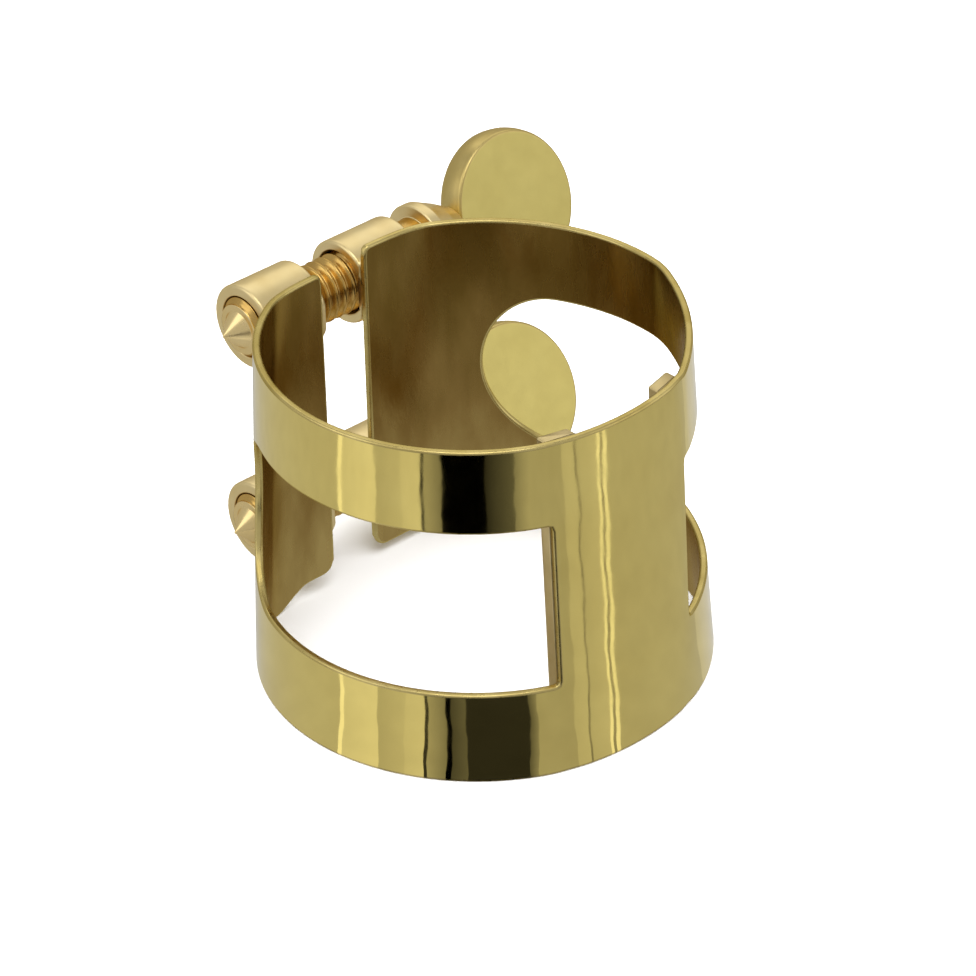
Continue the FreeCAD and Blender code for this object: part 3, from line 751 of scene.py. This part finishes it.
def make_rail(side, material):
    """Reed rail: a flat bar with rounded face corners, soldered inside the plate."""
    name = "reed_rail_right" if side > 0 else "reed_rail_left"
    low, high = cad_box(name)
    ends = [(RAIL_ROUND * (1 - math.cos(t)), RAIL_ROUND * (1 - math.sin(t)))
            for t in np.linspace(0, math.pi / 2, 4)]
    levels = [(low[2] + z, inset) for z, inset in ends]
    levels += [(z, 0.0) for z in np.linspace(low[2] + 1, high[2] - 1, 12)]
    levels += [(high[2] - z, inset) for z, inset in reversed(ends)]
    rings = []
    for z, inset in levels:
        backs = []
        for x in (RAIL_INNER, RAIL_OUTER):
            s = side * PLATE_RADIUS * math.asin(x / PLATE_RADIUS)
            point, _, _, out = wall_frame(np.array([s]), np.array([z]))
            backs.append(np.array([side * x, point[0, 1] - SHEET * out[0, 1] - RAIL_GAP]))
        near, far = backs
        rise = np.array([0, RAIL_THICK])
        rounds = [RAIL_BACK_ROUND, RAIL_BACK_ROUND, RAIL_FACE_ROUND, RAIL_FACE_ROUND]
        corners = [near, far, far + rise, near + rise]
        line = Line(rounded_path(corners, rounds, closed=True, step=0.12))
        distance = np.linspace(0, line.length, RAIL_COUNT, endpoint=False)
        flat = line.at(distance) + line.left_normal(distance) * side * inset
        rings.append(np.stack([flat[:, 0], flat[:, 1], 0 * flat[:, 0] + z], axis=-1))
    piece = lattice(f"{name}_soldered", np.array(rings), [material])
    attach(piece, "root")
    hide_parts(name)


# --- materials ---------------------------------------------------------------

class Look:
    """A node material with a few short ways to add texture to it. The edge colour
    tints what it mirrors at a grazing angle."""

    def __init__(self, name, metallic=1.0, roughness=0.3, edge=(1.0, 1.0, 1.0)):
        self.material = bpy.data.materials.new(name)
        self.material.use_nodes = True
        self.tree = self.material.node_tree
        self.shader = self.tree.nodes["Principled BSDF"]
        self.shader.inputs["Metallic"].default_value = metallic
        self.shader.inputs["Roughness"].default_value = roughness
        self.shader.inputs["Specular Tint"].default_value = (*edge, 1.0)
        self.place = self.node("ShaderNodeTexCoord").outputs["Object"]
        self.bumps = None

    def node(self, kind, **settings):
        made = self.tree.nodes.new(kind)
        for key, value in settings.items():
            setattr(made, key, value)
        return made

    def link(self, output, target):
        self.tree.links.new(output, target)

    def noise(self, feature_mm, detail, stretch=(1, 1, 1)):
        """Noise whose features are about this many millimetres across."""
        mapping = self.node("ShaderNodeMapping")
        mapping.inputs["Scale"].default_value = [1 / part for part in stretch]
        self.link(self.place, mapping.inputs["Vector"])
        noise = self.node("ShaderNodeTexNoise")
        noise.inputs["Scale"].default_value = 1 / (feature_mm * MM)
        noise.inputs["Detail"].default_value = detail
        self.link(mapping.outputs["Vector"], noise.inputs["Vector"])
        return noise.outputs["Fac"]

    def height(self):
        """Distance above the floor, in metres."""
        parts = self.node("ShaderNodeSeparateXYZ")
        self.link(self.place, parts.inputs["Vector"])
        return parts.outputs["Z"]

    def total(self, first, second):
        made = self.node("ShaderNodeMath", operation="ADD")
        self.link(first, made.inputs[0])
        self.link(second, made.inputs[1])
        return made.outputs["Value"]

    def range(self, value, low, high, start=0.3, end=0.7):
        """What goes from start to end becomes low to high."""
        made = self.node("ShaderNodeMapRange")
        limits = {"From Min": start, "From Max": end, "To Min": low, "To Max": high}
        for socket, number in limits.items():
            made.inputs[socket].default_value = number
        self.link(value, made.inputs["Value"])
        return made.outputs["Result"]

    def colours(self, value, stops):
        """Base colour from a ramp of (position, colour)."""
        ramp = self.node("ShaderNodeValToRGB")
        elements = ramp.color_ramp.elements
        while len(elements) < len(stops):
            elements.new(0.5)
        for element, (position, colour) in zip(elements, stops):
            element.position = position
            element.color = (*colour, 1.0)
        self.link(value, ramp.inputs["Fac"])
        self.link(ramp.outputs["Color"], self.shader.inputs["Base Color"])

    def dull(self, value, low, high):
        """Roughness between two limits."""
        self.link(self.range(value, low, high), self.shader.inputs["Roughness"])

    def bump(self, value, height_mm):
        """Small relief, on top of any that came before."""
        made = self.node("ShaderNodeBump")
        made.inputs["Strength"].default_value = 1.0
        made.inputs["Distance"].default_value = height_mm * MM
        self.link(value, made.inputs["Height"])
        if self.bumps is not None:
            self.link(self.bumps, made.inputs["Normal"])
        self.bumps = made.outputs["Normal"]
        self.link(self.bumps, self.shader.inputs["Normal"])


def polished_brass():
    """Outside of the sheet: a mirror with a faint waviness, drawn out upright."""
    look = Look("polished_brass", roughness=0.08)
    look.colours(look.noise(5.0, 4.0), [(0.35, (0.80, 0.64, 0.20)), (0.65, (0.84, 0.68, 0.22))])
    look.dull(look.noise(1.6, 6.0), 0.05, 0.09)
    look.bump(look.noise(6.0, 1.0, stretch=(1, 1, 1.6)), 0.05)
    look.bump(look.noise(1.3, 2.0, stretch=(1, 1, 1.5)), 0.004)
    look.bump(look.noise(0.3, 3.0, stretch=(1, 1, 3)), 0.0005)
    return look.material


def brushed_brass():
    """Inside of the sheet: streaked upright, with painted shade: its colour is darkened all over,
    and darker still further up.
    """
    look = Look("brushed_brass", roughness=0.3, edge=(0.75, 0.64, 0.46))
    streaks = look.range(look.noise(2.5, 6.0, stretch=(1, 1, 3)), -0.2, 0.2)
    # painted shade: the colour grows darker with height, and the ramp's dark colours stand in for
    # the shade inside the ring
    painted_shade_by_height = look.range(look.height(), 0.25, 0.85, start=3 * MM, end=19 * MM)
    look.colours(look.total(streaks, painted_shade_by_height), [
        (0.1, (0.52, 0.38, 0.13)), (0.5, (0.33, 0.21, 0.06)), (0.9, (0.21, 0.13, 0.028))])
    look.dull(look.noise(1.2, 6.0, stretch=(1, 1, 3)), 0.2, 0.34)
    look.bump(look.noise(0.18, 4.0, stretch=(1, 1, 3)), 0.006)
    return look.material


def cut_brass():
    """Edges of the sheet, where it was cut and rounded over."""
    look = Look("cut_brass", roughness=0.3, edge=(0.8, 0.68, 0.4))
    look.colours(look.noise(3.0, 4.0), [(0.3, (0.48, 0.37, 0.12)), (0.7, (0.68, 0.55, 0.22))])
    look.dull(look.noise(0.4, 4.0), 0.24, 0.36)
    look.bump(look.noise(0.3, 3.0), 0.003)
    return look.material


def satin_brass(name, dark, light, rough=(0.3, 0.42)):
    """Brass with a soft even grain, between two colours and two roughnesses."""
    look = Look(name, roughness=sum(rough) / 2, edge=(0.9, 0.8, 0.6))
    look.colours(look.noise(2.5, 5.0), [(0.3, dark), (0.7, light)])
    look.dull(look.noise(0.9, 5.0), *rough)
    look.bump(look.noise(0.15, 4.0), 0.0025)
    return look.material


def floor_paper():
    look = Look("floor_paper", metallic=0.0, roughness=0.7)
    look.colours(look.noise(60.0, 2.0), [(0.3, (0.93, 0.93, 0.93)), (0.7, (0.95, 0.95, 0.95))])
    return look.material


POLISHED = polished_brass()
BRUSHED = brushed_brass()
CUT = cut_brass()
POST_SATIN = satin_brass("post_satin", (0.80, 0.63, 0.30), (0.88, 0.72, 0.38))
CONE_GOLD = satin_brass("cone_gold", (0.80, 0.60, 0.26), (0.88, 0.69, 0.34), (0.18, 0.3))
# painted shade: the next material is a darker copy of cone_gold, for the thread and for the shank
# in the gap before the flange
SHADE_PAINTED_GOLD = satin_brass("shade_painted_gold", (0.52, 0.32, 0.09), (0.66, 0.43, 0.13), (0.18, 0.3))
PADDLE_SATIN = satin_brass("paddle_satin", (0.58, 0.48, 0.155), (0.61, 0.51, 0.17), (0.34, 0.40))
PADDLE_RIM = satin_brass("paddle_rim", (0.56, 0.43, 0.15), (0.64, 0.50, 0.19))
RAIL_RAW = satin_brass("rail_raw", (0.62, 0.49, 0.23), (0.74, 0.60, 0.31), (0.34, 0.5))


# --- the object --------------------------------------------------------------

guide_half = band_half("band_guide_half", GUIDE, [POLISHED, BRUSHED, CUT])
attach(guide_half, "root")
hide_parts("band")

nut_half = band_half("band_nut_half", NUT, [POLISHED, BRUSHED, CUT])
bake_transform(nut_half)
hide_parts("band")

for side in (NUT, GUIDE):
    make_rail(side, RAIL_RAW)
for level in LEVELS:
    for kind in ("nut", "guide"):
        make_post(kind, level, POST_SATIN)
    make_spindle(level, [CONE_GOLD, SHADE_PAINTED_GOLD, POST_SATIN])
    make_paddle(level, [PADDLE_SATIN, PADDLE_RIM])


# --- studio ------------------------------------------------------------------

# metres
FLOOR_HALF = 4.0
FLOOR_LEVEL = -1e-5

# millimetres: a fan is divided in steps of FAN_STEP outward as far as FAN_FINE, and
# of FAN_SLICE along the wall. Its edges wander in waves, each given by its size and
# by its radians per millimetre outward and along the wall.
FAN_FINE = 45.0
FAN_STEP = 1.0
FAN_SLICE = 0.8
FAN_WANDER = ((0.06, 0.55, 1.1), (0.03, 1.7, 2.3))
CARD_GRAIN = 0.04
GROUND_GRAIN = 0.03
GROUND_COUNT = 48


def direction(azimuth, elevation):
    """Unit vector from the object towards a lamp or the camera."""
    a, e = math.radians(azimuth), math.radians(elevation)
    return Vector((math.sin(a) * math.cos(e), -math.cos(a) * math.cos(e), math.sin(e)))


def make_floor():
    mesh = bpy.data.meshes.new("floor")
    corners = [(x * FLOOR_HALF, y * FLOOR_HALF, FLOOR_LEVEL)
               for x, y in ((-1, -1), (1, -1), (1, 1), (-1, 1))]
    mesh.from_pydata(corners, [], [(0, 1, 2, 3)])
    mesh.materials.append(floor_paper())
    floor = add_object("floor", mesh)


def make_card(name, points, strengths, faces, grain):
    """Card lying on the floor that only shows in reflections. Each vertex has its
    own brightness, and grain is how much noise breaks it up."""
    mesh = bpy.data.meshes.new(name)
    mesh.from_pydata((np.array(points) * MM).tolist(), [], faces)
    brightness = mesh.attributes.new("brightness", "FLOAT", "POINT")
    brightness.data.foreach_set("value", strengths)
    look = Look(name)
    nodes = look.tree.nodes
    nodes.remove(look.shader)
    emission = nodes.new("ShaderNodeEmission")
    source = look.node("ShaderNodeAttribute", attribute_name="brightness")
    product = look.node("ShaderNodeMath", operation="MULTIPLY")
    look.link(source.outputs["Fac"], product.inputs[0])
    look.link(look.range(look.noise(3.0, 6.0), 1 - grain, 1 + grain), product.inputs[1])
    look.link(product.outputs[0], emission.inputs["Strength"])
    look.link(emission.outputs["Emission"], nodes["Material Output"].inputs["Surface"])
    mesh.materials.append(look.material)
    card = add_object(name, mesh)
    card.visible_camera = False
    card.visible_diffuse = False
    card.visible_shadow = False


def make_fan(name, near, far, height, stretches):
    """Fan of cards round the band. Each stretch (from, to, brightness at each end)
    is a distance along the wall from the middle of the reed plate, and its card lies
    where that stretch of wall mirrors it to the camera. Its edges wander a little,
    as mirrored edges do in sheet that is not quite true."""
    azimuth = math.radians(CAMERA_AZIMUTH)
    toward = np.array([math.sin(azimuth), -math.cos(azimuth)])
    reaches = np.append(np.arange(near, min(far, FAN_FINE), FAN_STEP), far)
    points, strengths, faces = [], [], []
    for start, end, first, last in stretches:
        steps = max(1, math.ceil((end - start) / FAN_SLICE))
        for share in np.linspace(0, 1, steps + 1):
            s = start + (end - start) * share
            wander = sum(size * np.sin(outward * reaches + along * s)
                         for size, outward, along in FAN_WANDER)
            foot, _, _, out = wall_frame(s + wander, 0 * reaches + HEIGHT / 2)
            normal = unit(out[:, :2])
            mirrored = 2 * (normal @ toward)[:, None] * normal - toward
            flat = foot[:, :2] + mirrored * reaches[:, None]
            points += [(x, y, height) for x, y in flat]
            strengths += [first + (last - first) * share] * len(reaches)
            if share > 0:
                here = len(points) - len(reaches)
                before = here - len(reaches)
                faces += [(before + k, before + k + 1, here + k + 1, here + k)
                          for k in range(len(reaches) - 1)]
    make_card(name, points, strengths, faces, CARD_GRAIN)


def make_ground_card(radius, height, strength):
    """Round card under the fans, which the brass mirrors in place of the white floor."""
    angles = np.linspace(0, 2 * math.pi, GROUND_COUNT, endpoint=False)
    points = [(radius * math.cos(a), radius * math.sin(a), height) for a in angles]
    faces = [tuple(range(GROUND_COUNT))]
    make_card("ground_card", points, [strength] * GROUND_COUNT, faces, GROUND_GRAIN)


def make_softbox(name, azimuth, elevation, distance, width, height, radiance):
    """Area light facing the object. Lengths are in metres, and its power is set by
    how bright its surface looks."""
    lamp = bpy.data.lights.new(name, "AREA")
    lamp.shape = "RECTANGLE"
    lamp.size = width
    lamp.size_y = height
    lamp.energy = radiance * math.pi * width * height
    light = add_object(name, lamp)
    back = direction(azimuth, elevation)
    light.location = Vector((0, 0, HEIGHT / 2 * MM)) + back * distance
    light.rotation_mode = "QUATERNION"
    light.rotation_quaternion = back.to_track_quat("Z", "Y")
    return light


def make_world(strength):
    world = bpy.data.worlds.new("studio")
    world.use_nodes = True
    background = world.node_tree.nodes["Background"]
    background.inputs["Color"].default_value = (1, 1, 1, 1)
    background.inputs["Strength"].default_value = strength
    bpy.context.scene.world = world


def make_camera():
    camera = add_object("camera", bpy.data.cameras.new("camera"))
    camera.data.lens = CAMERA_LENS
    camera.data.sensor_width = 36.0
    camera.data.clip_start = 0.01
    camera.data.clip_end = 20.0
    back = direction(CAMERA_AZIMUTH, CAMERA_ELEVATION)
    camera.location = (Vector(CAMERA_TARGET) + back * CAMERA_DISTANCE) * MM
    camera.rotation_mode = "QUATERNION"
    upright = back.to_track_quat("Z", "Y")
    roll = Matrix.Rotation(math.radians(CAMERA_ROLL), 3, "Z").to_quaternion()
    camera.rotation_quaternion = upright @ roll
    bpy.context.scene.camera = camera


# stretches of wall, in order from the nut side's free end: the nut side, then the
# black bar to the left of the reed plate, which differs between the far and the
# near fan, then the plate and the start of the guide side
LEFT_LINES = [
    (-30.0, -19.3, 0.56, 0.56), (-19.3, -19.0, 1.15, 1.15), (-19.0, -16.6, 0.74, 0.86),
    (-16.6, -14.9, 0.52, 0.62), (-14.9, -13.7, 0.68, 0.74), (-13.7, -13.5, 0.04, 0.04),
    (-13.5, -12.4, 0.42, 0.24)]
FAR_SHADOW = [(-12.4, -9.7, 0.0, 0.0), (-9.7, -7.9, 0.03, 0.12), (-7.9, -7.0, 0.26, 0.44)]
NEAR_SHADOW = [
    (-12.4, -12.1, 0.0, 0.0), (-12.1, -11.2, 0.08, 0.14), (-11.2, -7.5, 0.03, 0.03),
    (-7.5, -7.0, 0.12, 0.3)]
PLATE_LINES = [
    (-7.0, -4.7, 0.44, 0.44), (-4.7, -3.85, 0.56, 0.60), (-3.85, -3.72, 0.26, 0.26),
    (-3.72, -2.4, 0.54, 0.60), (-2.4, -2.2, 1.1, 1.1), (-2.2, -2.0, 0.36, 0.30),
    (-2.0, -1.72, 1.1, 1.0), (-1.72, 6.0, 0.50, 0.50), (6.0, 12.0, 0.62, 0.66)]

make_floor()
make_world(0.55)
make_ground_card(radius=2000.0, height=0.02, strength=0.52)
make_fan("far_fan", 12.0, 260.0, 0.06, LEFT_LINES + FAR_SHADOW + PLATE_LINES)
make_fan("near_fan", 0.3, 12.0, 0.04, LEFT_LINES + NEAR_SHADOW + PLATE_LINES)
overhead = make_softbox("overhead", 0, 89, distance=1.0, width=2.0, height=2.0, radiance=2.6)
overhead.visible_glossy = False
make_softbox("softbox_top", -60, 75, distance=0.5, width=0.3, height=0.3, radiance=1.9)
make_softbox("softbox_back", 138, 42, distance=0.5, width=0.5, height=0.3, radiance=0.65)
make_softbox("softbox_left", -120, 35, distance=0.5, width=0.3, height=0.3, radiance=1.0)
make_softbox("softbox_right", 45, 22, distance=0.5, width=0.4, height=0.4, radiance=0.62)
make_camera()
bpy.context.scene.view_settings.view_transform = "Standard"
